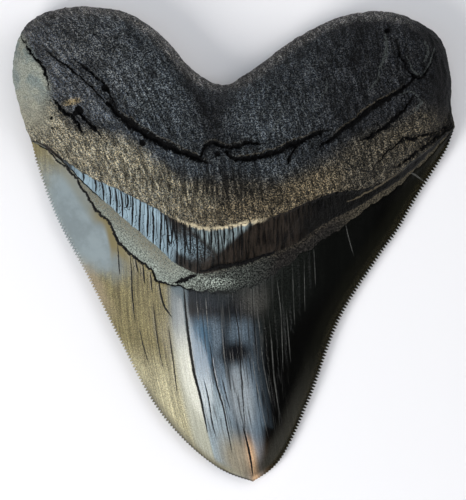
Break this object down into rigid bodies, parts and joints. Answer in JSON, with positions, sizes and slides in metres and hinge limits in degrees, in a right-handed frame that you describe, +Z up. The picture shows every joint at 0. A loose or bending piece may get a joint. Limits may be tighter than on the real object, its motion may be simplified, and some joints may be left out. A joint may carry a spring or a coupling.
{
  "type": "fossil megalodon tooth",
  "caption": "Heart-shaped fossil shark tooth with a bulging forked root, a dark neck band and a smooth, pointed, serrated crown, lying flat.",
  "frame": {"origin": "on the surface the tooth lies on, under the middle of its length and width", "axes": "+Y from the tip towards the root lobes, +X towards the right lobe seen from above, +Z up out of the swollen inner face"},
  "size_m": [0.1212, 0.131, 0.0262],
  "materials": {
    "fossil_tooth": "glossy mineralised enamel on the crown, satin charcoal root with brown and blue-grey staining"
  },
  "bodies": {
    "root": {"megalodon_tooth": "fossil_tooth"}
  },
  "joints": []
}
